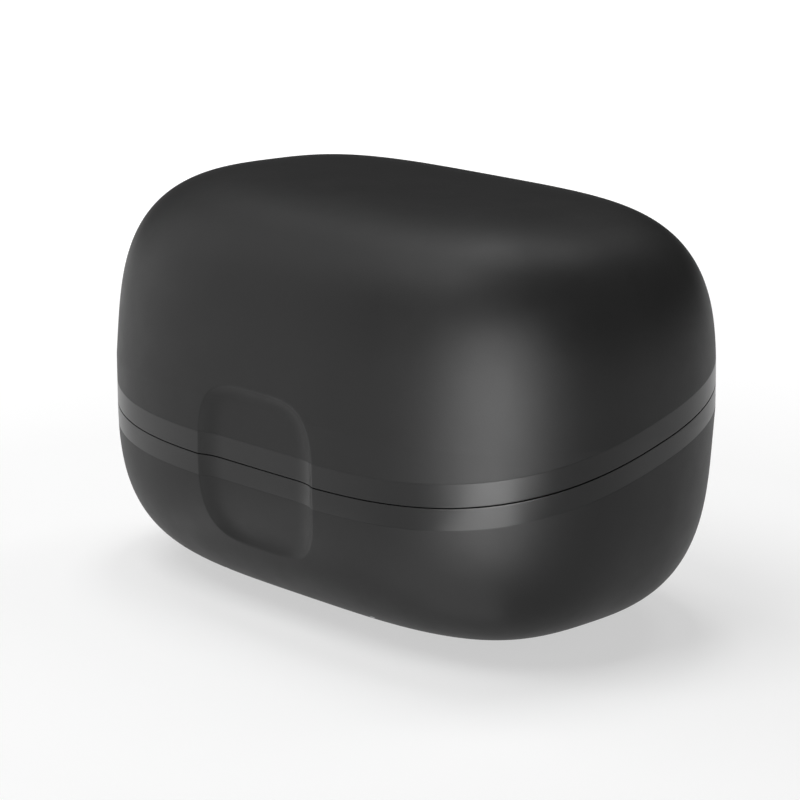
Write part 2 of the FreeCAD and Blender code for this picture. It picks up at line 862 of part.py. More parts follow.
pieces = {
    "lid_shell": lid_shell(),
    "lid_rim": lid_rim(),
    "lid_liner": lid_liner(),
    "keeper_left": keeper(-1),
    "keeper_right": keeper(1),
    "lid_magnets": magnets(1),
    "hinge_pin": hinge_pin(),
    "base_shell": base_shell(),
    "base_rim": base_rim(),
    "base_magnets": magnets(-1),
    "foot_pad": foot_pad(),
    "balance_weight": balance_weight(),
    "weight_screws": weight_screws(),
    "deck_screws": deck_screws(),
    "deck": deck(),
    "tray_left": tray(-1),
    "tray_right": tray(1),
    "contact_barrels_left": contact_barrels(-1),
    "contact_barrels_right": contact_barrels(1),
    "contact_board": contact_board(),
    "contact_board_screws": small_screws(contact_post_spots, contact_board_bottom),
    "check_button": check_button(),
    "switch_actuator": switch_actuator(),
    "check_switch": check_switch(),
    "lamp_board": lamp_board(),
    "lamp_board_screws": small_screws(lamp_post_spots, lamp_board_bottom),
    "lamps": lamps(),
    "light_guides": light_guides(),
    "main_board": main_board(),
    "board_parts": board_parts(),
    "cell_tape": cell_tape(),
    "battery_cell": battery_cell(),
    "socket_housing": socket_housing(),
    "socket_core": socket_core(),
}
for side, side_name in ((-1, "left"), (1, "right")):
    for spot, spot_name in zip(contact_spots(side), ("front", "rear")):
        pieces["contact_pin_" + side_name + "_" + spot_name] = contact_plunger(spot)

os.makedirs("parts", exist_ok=True)
for name, shape in pieces.items():
    shape.exportStep("parts/" + name + ".step")
    print(name, len(shape.Solids), round(shape.Volume, 1), shape.isValid())
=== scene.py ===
import bpy
import bmesh
import math
import numpy as np
from mathutils import Matrix, Vector


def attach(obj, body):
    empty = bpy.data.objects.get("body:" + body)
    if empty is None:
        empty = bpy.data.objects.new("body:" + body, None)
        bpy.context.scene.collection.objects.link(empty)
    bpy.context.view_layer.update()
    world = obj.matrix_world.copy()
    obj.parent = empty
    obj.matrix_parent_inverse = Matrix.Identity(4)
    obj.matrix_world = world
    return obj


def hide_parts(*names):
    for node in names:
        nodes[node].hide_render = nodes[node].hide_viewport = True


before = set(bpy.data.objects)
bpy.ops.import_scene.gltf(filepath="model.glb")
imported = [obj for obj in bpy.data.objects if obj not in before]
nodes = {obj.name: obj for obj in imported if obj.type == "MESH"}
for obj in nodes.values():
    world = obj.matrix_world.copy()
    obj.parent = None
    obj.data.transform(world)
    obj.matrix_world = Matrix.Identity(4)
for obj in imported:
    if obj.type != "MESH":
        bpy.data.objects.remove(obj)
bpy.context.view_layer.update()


# Lid shell: the moulded upper cover of the case, fine-textured charcoal plastic.
# Its walls are 2 mm thick and it sits over the skirt of the glossy rim below it.
# All outer pieces follow one outline: an oval with soft corners that swells to
# its widest level and closes over a small flat at either end, in millimetres.
MM = 0.001
SEAM_HEIGHT = 33.3
SEAM_ANGLE = math.radians(14.1)
SEAM_SLOPE = math.tan(SEAM_ANGLE)
WIDEST_LEVEL = 34.5
CROWN_LEVEL = 66.0
UPPER = dict(height=31.5, draft=0.039, shoulder=28.7, power=3.1, taper=1.126)
LOWER = dict(height=34.5, draft=0.03, shoulder=28.8, power=2.95, taper=1.03)


def half_sizes(level, depth_in, side):
    rise = np.abs(level - WIDEST_LEVEL)
    height = side["height"] - depth_in
    shoulder = side["shoulder"] - depth_in
    run = np.clip((rise - height + shoulder) / shoulder, 0.0, 1.0)
    inset = side["draft"] * rise + shoulder * (1 - (1 - run ** side["power"]) ** (1 / side["power"]))
    share = np.clip(inset / (side["draft"] * height + shoulder), 0.0, 1.0)
    return (50.0 - depth_in - side["taper"] * inset, 33.9 - depth_in - inset,
            3.5 + 0.2 * share, 2.4 + 1.3 * share)


def beyond_case(x, y, z, depth_in):
    upper = half_sizes(z, depth_in, UPPER)
    lower = half_sizes(z, depth_in, LOWER)
    length, depth, ends, sides = [np.where(z > WIDEST_LEVEL, up, low) for up, low in zip(upper, lower)]
    return (np.abs(x) / length) ** ends + (np.abs(y) / depth) ** sides - 1


# The upright mesh lines start on the case's middle line and run straight to the
# front and back across the finger scoop, and fan out round both ends.
SCOOP_STEP = 0.15
SCOOP_LINES = 92
spots = [SCOOP_STEP * step for step in range(-SCOOP_LINES, SCOOP_LINES + 1)]
fan_start = spots[-1]
lines = [(x, -90.0) for x in spots]
lines += [(fan_start, -90.0 + 180.0 * step / 120) for step in range(1, 120)]
lines += [(fan_start - 2 * fan_start * step / 56, 90.0) for step in range(57)]
lines += [(-fan_start, 90.0 + 180.0 * step / 120) for step in range(1, 120)]
LINE_START = np.array([x for x, turn in lines])
LINE_X = np.cos(np.radians([turn for x, turn in lines]))
LINE_Y = np.sin(np.radians([turn for x, turn in lines]))


def case_line(middle, slope, depth_in):
    low = np.zeros(len(lines))
    high = np.full(len(lines), 60.0)
    for _ in range(44):
        reach = (low + high) / 2
        x = LINE_START + reach * LINE_X
        y = reach * LINE_Y
        z = np.clip(middle + y * slope, depth_in + 1e-6, CROWN_LEVEL - depth_in - 1e-6)
        outside = beyond_case(x, y, z, depth_in) > 0
        high = np.where(outside, reach, high)
        low = np.where(outside, low, reach)
    y = low * LINE_Y
    return np.stack([LINE_START + low * LINE_X, y, middle + y * slope], axis=1)


# Finger scoop: a shallow recess with a softly squared outline. Its walls are
# steepest at the rim, which is eased, and run out smoothly into a floor that
# follows the case.
SCOOP_CENTRE = 24.47
SCOOP_HALF_WIDTH = 12.38
SCOOP_HALF_HEIGHT = 12.76
SCOOP_SQUARENESS = 3.58
SCOOP_DEPTH = 1.05
SIDE_WALL = 5.2
END_WALL = 3.0
SCOOP_FALL = 3.0
SCOOP_RIM = 0.12


def scooped(points):
    x, y, z = points.T
    across = np.abs(x) / SCOOP_HALF_WIDTH
    upright = np.abs(z - SCOOP_CENTRE) / SCOOP_HALF_HEIGHT
    power = SCOOP_SQUARENESS
    size = np.maximum((across ** power + upright ** power) ** (1 / power), 0.2)
    sideways = (across / size) ** (power - 1) / SCOOP_HALF_WIDTH
    endways = (upright / size) ** (power - 1) / SCOOP_HALF_HEIGHT
    spread = np.hypot(sideways, endways)
    wall = END_WALL + (SIDE_WALL - END_WALL) * (sideways / spread) ** 2
    within = (1 - size) / spread
    eased = np.clip(within + SCOOP_RIM, 0, 2 * SCOOP_RIM) ** 2 / (4 * SCOOP_RIM)
    within = np.where(y < 0, eased + np.maximum(within - SCOOP_RIM, 0), 0)
    drop = SCOOP_DEPTH * (1 - np.clip(1 - within / wall, 0, 1) ** SCOOP_FALL)
    small = 0.01
    slope = np.stack([beyond_case(x + small, y, z, 0) - beyond_case(x - small, y, z, 0),
                      beyond_case(x, y + small, z, 0) - beyond_case(x, y - small, z, 0),
                      beyond_case(x, y, z + small, 0) - beyond_case(x, y, z - small, 0)], axis=1)
    slope /= np.linalg.norm(slope, axis=1, keepdims=True)
    return points - slope * drop[:, None]


def tilted_line(rise, depth_in):
    middle = SEAM_HEIGHT + rise / math.cos(SEAM_ANGLE)
    points = case_line(middle, SEAM_SLOPE, depth_in)
    return scooped(points) if depth_in < 1 else points


def shoulder_lines(start, end, depth_in, side, steps):
    # Planes that level out from the seam's slope as they near the crown or the foot.
    height = side["height"] - depth_in
    shoulder = side["shoulder"] - depth_in
    sign = 1 if end > start else -1
    first = math.asin(max(0.0, min(1.0, (abs(start - WIDEST_LEVEL) - height + shoulder) / shoulder)))
    rows = []
    for step in range(1, steps + 1):
        turn = first + (math.pi / 2 - first) * step / steps
        size = (math.sin(turn) ** side["power"] + math.cos(turn) ** side["power"]) ** (-1 / side["power"])
        middle = WIDEST_LEVEL + sign * (height - shoulder + shoulder * size * math.sin(turn))
        if sign * (middle - start) <= 0.05 or sign * (end - middle) < 0:
            continue
        share = abs(middle - start) / abs(end - start)
        slope = SEAM_SLOPE * max(0.0, 1 - share / 0.8)
        rows.append(case_line(middle, slope, depth_in))
    return rows


def grow_skin(mesh, rows):
    ring = bmesh.ops.create_circle(mesh, segments=len(lines), radius=1.0)["verts"]
    for vert, spot in zip(ring, rows[0]):
        vert.co = spot
    for row in rows[1:]:
        place = {vert: index for index, vert in enumerate(ring)}
        edges = [mesh.edges.get((vert, ring[index - 1])) for index, vert in enumerate(ring)]
        grown = [item for item in bmesh.ops.extrude_edge_only(mesh, edges=edges)["geom"]
                 if isinstance(item, bmesh.types.BMVert)]
        new_ring = [None] * len(ring)
        for vert in grown:
            for edge in vert.link_edges:
                other = edge.other_vert(vert)
                if other in place:
                    new_ring[place[other]] = vert
        for vert, spot in zip(new_ring, row):
            vert.co = spot
        ring = new_ring
    return ring


def close_end(mesh, ring):
    edges = [mesh.edges.get((vert, ring[index - 1])) for index, vert in enumerate(ring)]
    bmesh.ops.contextual_create(mesh, geom=edges)


def finish_piece(mesh, name, body, replaced, material, sharp=40.0):
    bmesh.ops.remove_doubles(mesh, verts=mesh.verts[:], dist=1e-4)
    bmesh.ops.recalc_face_normals(mesh, faces=mesh.faces[:])
    bmesh.ops.scale(mesh, vec=(MM, MM, MM), verts=mesh.verts[:])
    data = bpy.data.meshes.new(name)
    mesh.to_mesh(data)
    mesh.free()
    data.polygons.foreach_set("use_smooth", [True] * len(data.polygons))
    data.set_sharp_from_angle(angle=math.radians(sharp))
    data.materials.append(material)
    piece = bpy.data.objects.new(name, data)
    bpy.context.scene.collection.objects.link(piece)
    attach(piece, body)
    if replaced:
        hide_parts(*replaced)
    return piece


# Fine spark-eroded texture of moulded plastic, as a shader group: an even small
# grain, a slow drift of tone, and faint handling marks in the gloss.
def grain_group():
    group = bpy.data.node_groups.new("moulded grain", "ShaderNodeTree")
    for word, low, start in (("Grain Scale", 1.0, 5200.0), ("Grain", 0.0, 1.0), ("Drift Scale", 0.1, 45.0)):
        socket = group.interface.new_socket(name=word, in_out="INPUT", socket_type="NodeSocketFloat")
        socket.min_value = low
        socket.default_value = start
    for word in ("Height", "Tone", "Marks"):
        group.interface.new_socket(name=word, in_out="OUTPUT", socket_type="NodeSocketFloat")
    tree = group.nodes
    link = group.links.new
    inputs, outputs = tree.new("NodeGroupInput"), tree.new("NodeGroupOutput")
    place = tree.new("ShaderNodeTexCoord")
    fine, slow, streak = [tree.new("ShaderNodeTexNoise") for _ in range(3)]
    for noise in (fine, slow, streak):
        link(place.outputs["Object"], noise.inputs["Vector"])
    link(inputs.outputs["Grain Scale"], fine.inputs["Scale"])
    fine.inputs["Detail"].default_value = 2.0
    link(inputs.outputs["Drift Scale"], slow.inputs["Scale"])
    slow.inputs["Detail"].default_value = 3.0
    streak.inputs["Scale"].default_value = 160.0
    streak.inputs["Detail"].default_value = 6.0
    streak.inputs["Roughness"].default_value = 0.65
    rise = tree.new("ShaderNodeMath")
    rise.operation = "MULTIPLY"
    link(fine.outputs["Fac"], rise.inputs[0])
    link(inputs.outputs["Grain"], rise.inputs[1])
    link(rise.outputs[0], outputs.inputs["Height"])
    mixed = tree.new("ShaderNodeMix")
    mixed.inputs["Factor"].default_value = 0.35
    link(slow.outputs["Fac"], mixed.inputs["A"])
    link(fine.outputs["Fac"], mixed.inputs["B"])
    link(mixed.outputs["Result"], outputs.inputs["Tone"])
    link(streak.outputs["Fac"], outputs.inputs["Marks"])
    return group


GRAIN = grain_group()


def plastic(name, dark, light, gloss, rough, grain_scale=5200.0, bump=0.000012, drift=45.0, **settings):
    # dark and light are the ends of the tone drift, gloss and rough those of the roughness.
    material = bpy.data.materials.new(name)
    material.use_nodes = True
    tree = material.node_tree
    shader = tree.nodes["Principled BSDF"]
    grain = tree.nodes.new("ShaderNodeGroup")
    grain.node_tree = GRAIN
    grain.inputs["Grain Scale"].default_value = grain_scale
    grain.inputs["Drift Scale"].default_value = drift
    tone = tree.nodes.new("ShaderNodeMapRange")
    tone.inputs["From Min"].default_value = 0.3
    tone.inputs["From Max"].default_value = 0.7
    mix = tree.nodes.new("ShaderNodeMix")
    mix.data_type = "RGBA"
    mix.inputs["A"].default_value = (*dark, 1)
    mix.inputs["B"].default_value = (*light, 1)
    tree.links.new(grain.outputs["Tone"], tone.inputs["Value"])
    tree.links.new(tone.outputs["Result"], mix.inputs["Factor"])
    tree.links.new(mix.outputs["Result"], shader.inputs["Base Color"])
    shine = tree.nodes.new("ShaderNodeMapRange")
    shine.inputs["From Min"].default_value = 0.3
    shine.inputs["From Max"].default_value = 0.7
    shine.inputs["To Min"].default_value = gloss
    shine.inputs["To Max"].default_value = rough
    tree.links.new(grain.outputs["Marks"], shine.inputs["Value"])
    tree.links.new(shine.outputs["Result"], shader.inputs["Roughness"])
    relief = tree.nodes.new("ShaderNodeBump")
    relief.inputs["Distance"].default_value = bump
    tree.links.new(grain.outputs["Height"], relief.inputs["Height"])
    tree.links.new(relief.outputs["Normal"], shader.inputs["Normal"])
    for word, value in settings.items():
        shader.inputs[word.replace("_", " ")].default_value = value
    return material


CASE_PLASTIC = plastic("case plastic", (0.014, 0.014, 0.014), (0.017, 0.017, 0.017), 0.47, 0.53, Specular_IOR_Level=0.25)

LID_BAND_TOP = 3.5
LID_SCOOP_TOP = 13.0
WALL = 2.0
SHELL_EDGE = 0.03
lid_rows = [tilted_line(LID_BAND_TOP + SHELL_EDGE * (1 - math.cos(turn)), SHELL_EDGE * (1 - math.sin(turn)))
            for turn in (0.0, 0.4, 0.8, 1.2, math.pi / 2)]
scoop_rows = 64
lid_rows += [tilted_line(LID_BAND_TOP + SHELL_EDGE + (LID_SCOOP_TOP - LID_BAND_TOP - SHELL_EDGE) * step / scoop_rows, 0.0)
             for step in range(1, scoop_rows + 1)]
lid_middle = SEAM_HEIGHT + LID_SCOOP_TOP / math.cos(SEAM_ANGLE)
lid_rows += shoulder_lines(lid_middle, CROWN_LEVEL, 0.0, UPPER, 56)
crown = lid_rows[-1].copy()
centre = crown.mean(axis=0)
lid_rows += [centre + (crown - centre) * share for share in (0.8, 0.6, 0.4, 0.2)]
lid_mesh = bmesh.new()
close_end(lid_mesh, grow_skin(lid_mesh, lid_rows))
inner_rows = [lid_rows[0], tilted_line(LID_BAND_TOP, WALL), tilted_line(LID_SCOOP_TOP, WALL)]
inner_rows += shoulder_lines(lid_middle, CROWN_LEVEL - WALL, WALL, UPPER, 24)
close_end(lid_mesh, grow_skin(lid_mesh, inner_rows))
lid_shell = finish_piece(lid_mesh, "lid_cover", "lid", ["lid_shell"], CASE_PLASTIC)


# Lid rim: the glossier ring along the lid's edge, with a skirt that goes up inside
# the lid shell, an inner ledge that carries the liner, two bosses for the closing
# magnets and the two hinge knuckles at the back. One moulding.
HINGE_REACH = 33.633
BARREL = 2.3
ROOM = 2.55
KNUCKLE_GAP = 0.3
HINGE_HALF = 18.0
EDGE_ROUND = 0.05
SKIRT_OUT = 2.15
SKIRT_IN = 3.65
LEDGE_IN = 4.95


def tilt_place(mesh):
    bmesh.ops.rotate(mesh, verts=mesh.verts[:], cent=(0, 0, 0), matrix=Matrix.Rotation(SEAM_ANGLE, 3, "X"))
    bmesh.ops.translate(mesh, verts=mesh.verts[:], vec=(0, 0, SEAM_HEIGHT))


def hinge_rod(radius, start, end, edge=0.0, segments=64):
    mesh = bmesh.new()
    turn = Matrix.Translation(((start + end) / 2, HINGE_REACH, 0)) @ Matrix.Rotation(math.pi / 2, 4, "Y")
    bmesh.ops.create_cone(mesh, cap_ends=True, segments=segments, radius1=radius, radius2=radius,
                          depth=end - start, matrix=turn)
    if edge:
        ends = [item for item in mesh.edges if abs(item.verts[0].co.x - item.verts[1].co.x) < 1e-6]
        bmesh.ops.bevel(mesh, geom=ends, affect="EDGES", offset=edge, segments=2, profile=0.5, material=-1)
    tilt_place(mesh)
    return mesh


def boss_rod(radius, low, high, x, y):
    mesh = bmesh.new()
    place = Matrix.Translation((x, y, (low + high) / 2))
    bmesh.ops.create_cone(mesh, cap_ends=True, segments=48, radius1=radius, radius2=radius,
                          depth=high - low, matrix=place)
    tilt_place(mesh)
    return mesh


def web_block(start, end, low, high):
    mesh = bmesh.new()
    size = (end - start, 1.3, high - low)
    bmesh.ops.create_cube(mesh, size=1.0)
    bmesh.ops.scale(mesh, vec=size, verts=mesh.verts[:])
    bmesh.ops.translate(mesh, verts=mesh.verts[:], vec=((start + end) / 2, HINGE_REACH - 0.55, (low + high) / 2))
    tilt_place(mesh)
    return mesh


def loose_object(mesh):
    data = bpy.data.meshes.new("cutter")
    mesh.to_mesh(data)
    mesh.free()
    item = bpy.data.objects.new("cutter", data)
    bpy.context.scene.collection.objects.link(item)
    return item


def carve(mesh, steps):
    # Adds and cuts plain forms one after the other, then hands the result back.
    body = loose_object(mesh)
    helpers = []
    for action, form in steps:
        helper = loose_object(form)
        helpers.append(helper)
        change = body.modifiers.new(action, "BOOLEAN")
        change.operation = action
        change.solver = "EXACT"
        change.object = helper
    bpy.context.view_layer.update()
    done = bpy.data.meshes.new_from_object(body.evaluated_get(bpy.context.evaluated_depsgraph_get()))
    result = bmesh.new()
    result.from_mesh(done)
    for item in [body] + helpers:
        bpy.data.objects.remove(item)
    return result


def rim_rows(side, band, ledge_low, ledge_high, rows):
    gap = 0.085
    line = [(gap + EDGE_ROUND * (1 - math.sin(turn)), EDGE_ROUND * (1 - math.cos(turn)))
            for turn in (math.pi / 2, 1.1, 0.8, 0.4, 0.0)]
    low = gap + EDGE_ROUND
    line += [(low + (band - low) * step / rows, 0.0) for step in range(1, rows + 1)]
    line += [(band, SKIRT_OUT), (band + 5.0, SKIRT_OUT), (band + 5.0, SKIRT_IN)]
    line += [(ledge_high, SKIRT_IN), (ledge_high, LEDGE_IN), (ledge_low, LEDGE_IN)]
    if ledge_low > gap:
        line += [(ledge_low, SKIRT_IN), (gap, SKIRT_IN)]
    line.append(line[0])
    return [tilted_line(side * rise, depth_in) for rise, depth_in in line]


MAGNET_X = 22.0
MAGNET_Y = -29.03
lid_knuckles = [(-13.2, -4.3), (4.3, 13.2)]
room = [("DIFFERENCE", hinge_rod(ROOM, -HINGE_HALF - KNUCKLE_GAP, HINGE_HALF + KNUCKLE_GAP)),
        ("DIFFERENCE", hinge_rod(1.4, -25.0, 25.0))]
steps = room
for start, end in lid_knuckles:
    steps.append(("UNION", web_block(start, end, 0.0, 3.3)))
    steps.append(("UNION", hinge_rod(BARREL, start, end, 0.2)))
steps.append(("DIFFERENCE", hinge_rod(1.05, -19.0, 19.0)))
for x in (-MAGNET_X, MAGNET_X):
    steps.append(("UNION", boss_rod(3.2, 0.13, 4.0, x, MAGNET_Y)))
rim_mesh = bmesh.new()
grow_skin(rim_mesh, rim_rows(1, LID_BAND_TOP, 0.125, 1.925, 18))
bmesh.ops.remove_doubles(rim_mesh, verts=rim_mesh.verts[:], dist=1e-4)
bmesh.ops.recalc_face_normals(rim_mesh, faces=rim_mesh.faces[:])
rim_mesh = carve(rim_mesh, steps)
RING_PLASTIC = plastic("ring plastic", (0.0145, 0.0145, 0.0145), (0.0175, 0.0175, 0.0175), 0.28, 0.31, bump=0.000003,
                       Specular_IOR_Level=0.31)
lid_ring = finish_piece(rim_mesh, "lid_ring", "lid", ["lid_rim"], RING_PLASTIC)


# Base shell: the moulded lower cover, the same plastic as the lid's, with a flat
# cut under it that holds the foot pad and a recessed opening for the power plug.
BASE_BAND_LOW = -3.35
BASE_SCOOP_LOW = -14.2
BASE_CUT = 0.4
PAD_TOP = 1.2
SOCKET_LEVEL = 11.83
SOCKET_WALL = 31.0
base_rows = [tilted_line(BASE_BAND_LOW - SHELL_EDGE * (1 - math.cos(turn)), SHELL_EDGE * (1 - math.sin(turn)))
             for turn in (0.0, 0.4, 0.8, 1.2, math.pi / 2)]
low_rows = 74
base_rows += [tilted_line(BASE_BAND_LOW - SHELL_EDGE + (BASE_SCOOP_LOW - BASE_BAND_LOW + SHELL_EDGE) * step / low_rows, 0.0)
              for step in range(1, low_rows + 1)]
base_middle = SEAM_HEIGHT + BASE_SCOOP_LOW / math.cos(SEAM_ANGLE)
base_rows += [row for row in shoulder_lines(base_middle, 0.0, 0.0, LOWER, 56) if row[:, 2].min() > BASE_CUT + 0.02]
foot_line = case_line(BASE_CUT, 0.0, 0.0)
middle = foot_line.mean(axis=0)
reach = np.abs(foot_line - middle).max(axis=0)
pad_line = middle + (foot_line - middle) * np.array([1 - 0.75 / reach[0], 1 - 0.75 / reach[1], 1.0])
lift = np.array([0.0, 0.0, PAD_TOP - BASE_CUT])
base_rows += [foot_line, pad_line, pad_line + lift]
base_rows += [middle + (pad_line - middle) * share + lift for share in (0.6, 0.3)]
base_mesh = bmesh.new()
close_end(base_mesh, grow_skin(base_mesh, base_rows))
inner_rows = [base_rows[0], tilted_line(BASE_BAND_LOW, WALL), tilted_line(BASE_SCOOP_LOW, WALL)]
inner_rows += [row for row in shoulder_lines(base_middle, WALL, WALL, LOWER, 24) if row[:, 2].min() > 2.85]
floor_line = case_line(2.8, 0.0, WALL)
inner_rows.append(floor_line)
close_end(base_mesh, grow_skin(base_mesh, inner_rows))
bmesh.ops.remove_doubles(base_mesh, verts=base_mesh.verts[:], dist=1e-4)
bmesh.ops.recalc_face_normals(base_mesh, faces=base_mesh.faces[:])


def oval_plug(width, height, corner, start, end, level):
    mesh = bmesh.new()
    bmesh.ops.create_cube(mesh, size=1.0)
    bmesh.ops.scale(mesh, vec=(width, end - start, height), verts=mesh.verts[:])
    bmesh.ops.translate(mesh, verts=mesh.verts[:], vec=(0, (start + end) / 2, level))
    long_edges = [item for item in mesh.edges if abs(item.verts[0].co.y - item.verts[1].co.y) > 0.5]
    bmesh.ops.bevel(mesh, geom=long_edges, affect="EDGES", offset=corner, segments=10, profile=0.5, material=-1)
    return mesh


base_mesh = carve(base_mesh, [("DIFFERENCE", oval_plug(12.6, 6.8, 3.05, SOCKET_WALL - 0.6, 40.0, SOCKET_LEVEL)),
                              ("DIFFERENCE", oval_plug(9.44, 3.76, 1.65, 20.0, 40.0, SOCKET_LEVEL))])
base_shell = finish_piece(base_mesh, "base_cover", "base", ["base_shell"], CASE_PLASTIC)


# Base rim: the matching glossy ring of the base, with a skirt down inside the
# base shell, a ledge that carries the deck, magnet bosses and three knuckles.
base_knuckles = [(-18.0, -13.5), (-4.0, 4.0), (13.5, 18.0)]
steps = [("DIFFERENCE", hinge_rod(ROOM, -HINGE_HALF - KNUCKLE_GAP, HINGE_HALF + KNUCKLE_GAP)),
         ("DIFFERENCE", hinge_rod(1.4, -25.0, 25.0))]
for start, end in base_knuckles:
    steps.append(("UNION", web_block(start, end, -3.3, 0.0)))
    steps.append(("UNION", hinge_rod(BARREL, start, end, 0.2)))
steps.append(("DIFFERENCE", hinge_rod(1.01, -19.0, 19.0)))
for x in (-MAGNET_X, MAGNET_X):
    steps.append(("UNION", boss_rod(3.2, -4.0, -0.13, x, MAGNET_Y)))
rim_mesh = bmesh.new()
grow_skin(rim_mesh, rim_rows(-1, -BASE_BAND_LOW, 5.0, 6.2, 18))
bmesh.ops.remove_doubles(rim_mesh, verts=rim_mesh.verts[:], dist=1e-4)
bmesh.ops.recalc_face_normals(rim_mesh, faces=rim_mesh.faces[:])
rim_mesh = carve(rim_mesh, steps)
base_ring = finish_piece(rim_mesh, "base_ring", "base", ["base_rim"], RING_PLASTIC)


# Lid liner: the inner skin of the lid, one thin moulding that rests on the rim's
# ledge, in a matte charcoal a little lighter than the case.
LINER_PLASTIC = plastic("liner plastic", (0.045, 0.045, 0.047), (0.055, 0.055, 0.057), 0.5, 0.6, grain_scale=3600.0,
                        bump=0.00002)


def dress(material, *names):
    for name in names:
        nodes[name].data.materials[0] = material


dress(LINER_PLASTIC, "lid_liner", "deck")

# Keepers: two ribbed pads of soft rubber that press on the hearing aids when the
# lid is shut. They are glued to the liner's ceiling.
SOFT_PAD = plastic("soft pad", (0.07, 0.07, 0.074), (0.085, 0.085, 0.09), 0.62, 0.75, grain_scale=2500.0,
                   bump=0.00004, Sheen_Weight=0.15, Sheen_Roughness=0.4)
dress(SOFT_PAD, "keeper_left", "keeper_right")

# Foot pad: a die-cut pad of dull rubber under the base, over the screw heads.
FOOT_RUBBER = plastic("foot rubber", (0.016, 0.016, 0.016), (0.024, 0.024, 0.024), 0.7, 0.85, grain_scale=2200.0,
                      bump=0.00005)
dress(FOOT_RUBBER, "foot_pad")

# Trays: one cradle for each hearing aid, a satin moulding dropped into the deck,
# with a deep port for the body, a bowl for the dome and a groove for the wire.
TRAY_PLASTIC = plastic("tray plastic", (0.075, 0.075, 0.079), (0.088, 0.088, 0.092), 0.3, 0.42, grain_scale=4200.0,
                       bump=0.000006)
dress(TRAY_PLASTIC, "tray_left", "tray_right")

# Battery check button: a satin cap with a dished top over a small switch.
BUTTON_PLASTIC = plastic("button plastic", (0.12, 0.12, 0.126), (0.135, 0.135, 0.14), 0.32, 0.42)
dress(BUTTON_PLASTIC, "check_button")

# Black moulded resin of the chips, headers, switch plunger and socket core.
CHIP_RESIN = plastic("chip resin", (0.015, 0.015, 0.016), (0.022, 0.022, 0.023), 0.45, 0.6, grain_scale=2600.0,
                     bump=0.00002)
dress(CHIP_RESIN, "board_parts", "switch_actuator", "socket_core")

# Foam tape that holds the cell to the floor of the base.
TAPE_FOAM = plastic("tape foam", (0.7, 0.7, 0.68), (0.82, 0.82, 0.8), 0.85, 0.95, grain_scale=1500.0, bump=0.00008)
dress(TAPE_FOAM, "cell_tape")


# Bare and plated metal: screws, pin, switch can and socket shell in steel, magnets
# in nickel, spring contacts in gold, the weight in cast steel, the cell in foil.
METAL = dict(Metallic=1.0)
STEEL = plastic("steel", (0.52, 0.52, 0.53), (0.6, 0.6, 0.61), 0.28, 0.38, grain_scale=1800.0, bump=0.000006, **METAL)
NICKEL = plastic("nickel plate", (0.66, 0.65, 0.62), (0.72, 0.71, 0.68), 0.12, 0.22, bump=0.000002, **METAL)
GOLD = plastic("gold plate", (0.8, 0.58, 0.24), (0.87, 0.65, 0.3), 0.18, 0.26, bump=0.000003, **METAL)
CAST = plastic("cast weight", (0.2, 0.2, 0.205), (0.3, 0.3, 0.305), 0.45, 0.65, grain_scale=900.0, bump=0.00006, **METAL)
FOIL = plastic("cell foil", (0.66, 0.66, 0.67), (0.74, 0.74, 0.75), 0.3, 0.45, grain_scale=350.0, bump=0.00005, **METAL)
dress(STEEL, "hinge_pin", "deck_screws", "weight_screws", "contact_board_screws", "lamp_board_screws",
      "check_switch", "socket_housing")
dress(NICKEL, "lid_magnets", "base_magnets")
dress(GOLD, "contact_barrels_left", "contact_barrels_right", "contact_pin_left_front", "contact_pin_left_rear",
      "contact_pin_right_front", "contact_pin_right_rear")
dress(CAST, "balance_weight")
dress(FOIL, "battery_cell")

# Circuit boards: glass laminate under a green solder mask.
LAMINATE = plastic("board laminate", (0.012, 0.09, 0.04), (0.018, 0.12, 0.055), 0.28, 0.4, grain_scale=1400.0,
                   bump=0.00001, drift=600.0)
dress(LAMINATE, "contact_board", "lamp_board", "main_board")

# Lamps and their light guides: clear resin over phosphor, and frosted rods.
LAMP_RESIN = plastic("lamp resin", (0.8, 0.76, 0.5), (0.86, 0.83, 0.6), 0.2, 0.26)
GUIDE = plastic("light guide", (0.86, 0.87, 0.88), (0.9, 0.9, 0.9), 0.3, 0.45, Transmission_Weight=0.7)
dress(LAMP_RESIN, "lamps")
dress(GUIDE, "light_guides")


# Plain pale floor: white paper. The camera, gloss and clear plastic see it white,
# a little less near the case, so that the soft shadow under the case stays.
FLOOR_HALF = 6.0
NEAR_WHITE, FAR_WHITE = 0.56, 1.0
FADE_START, FADE_END = 0.1, 0.5
floor_mesh = bmesh.new()
bmesh.ops.create_grid(floor_mesh, x_segments=2, y_segments=2, size=FLOOR_HALF)
floor_data = bpy.data.meshes.new("floor")
floor_mesh.to_mesh(floor_data)
floor_mesh.free()
floor = bpy.data.objects.new("floor", floor_data)
bpy.context.scene.collection.objects.link(floor)
paper = bpy.data.materials.new("paper floor")
paper.use_nodes = True
paper_nodes, paper_link = paper.node_tree.nodes, paper.node_tree.links.new
paper_shader = paper_nodes["Principled BSDF"]
paper_shader.inputs["Base Color"].default_value = (0.42, 0.42, 0.42, 1)
paper_shader.inputs["Roughness"].default_value = 1.0
paper_shader.inputs["Specular IOR Level"].default_value = 0.0
paper_shader.inputs["Emission Color"].default_value = (1, 1, 1, 1)
rays = paper_nodes.new("ShaderNodeLightPath")
seen = paper_nodes.new("ShaderNodeMath")
seen_too = paper_nodes.new("ShaderNodeMath")
seen.operation = seen_too.operation = "MAXIMUM"
place = paper_nodes.new("ShaderNodeTexCoord")
reach = paper_nodes.new("ShaderNodeVectorMath")
reach.operation = "LENGTH"
white = paper_nodes.new("ShaderNodeMapRange")
for word, value in (("From Min", FADE_START), ("From Max", FADE_END), ("To Min", NEAR_WHITE), ("To Max", FAR_WHITE)):
    white.inputs[word].default_value = value
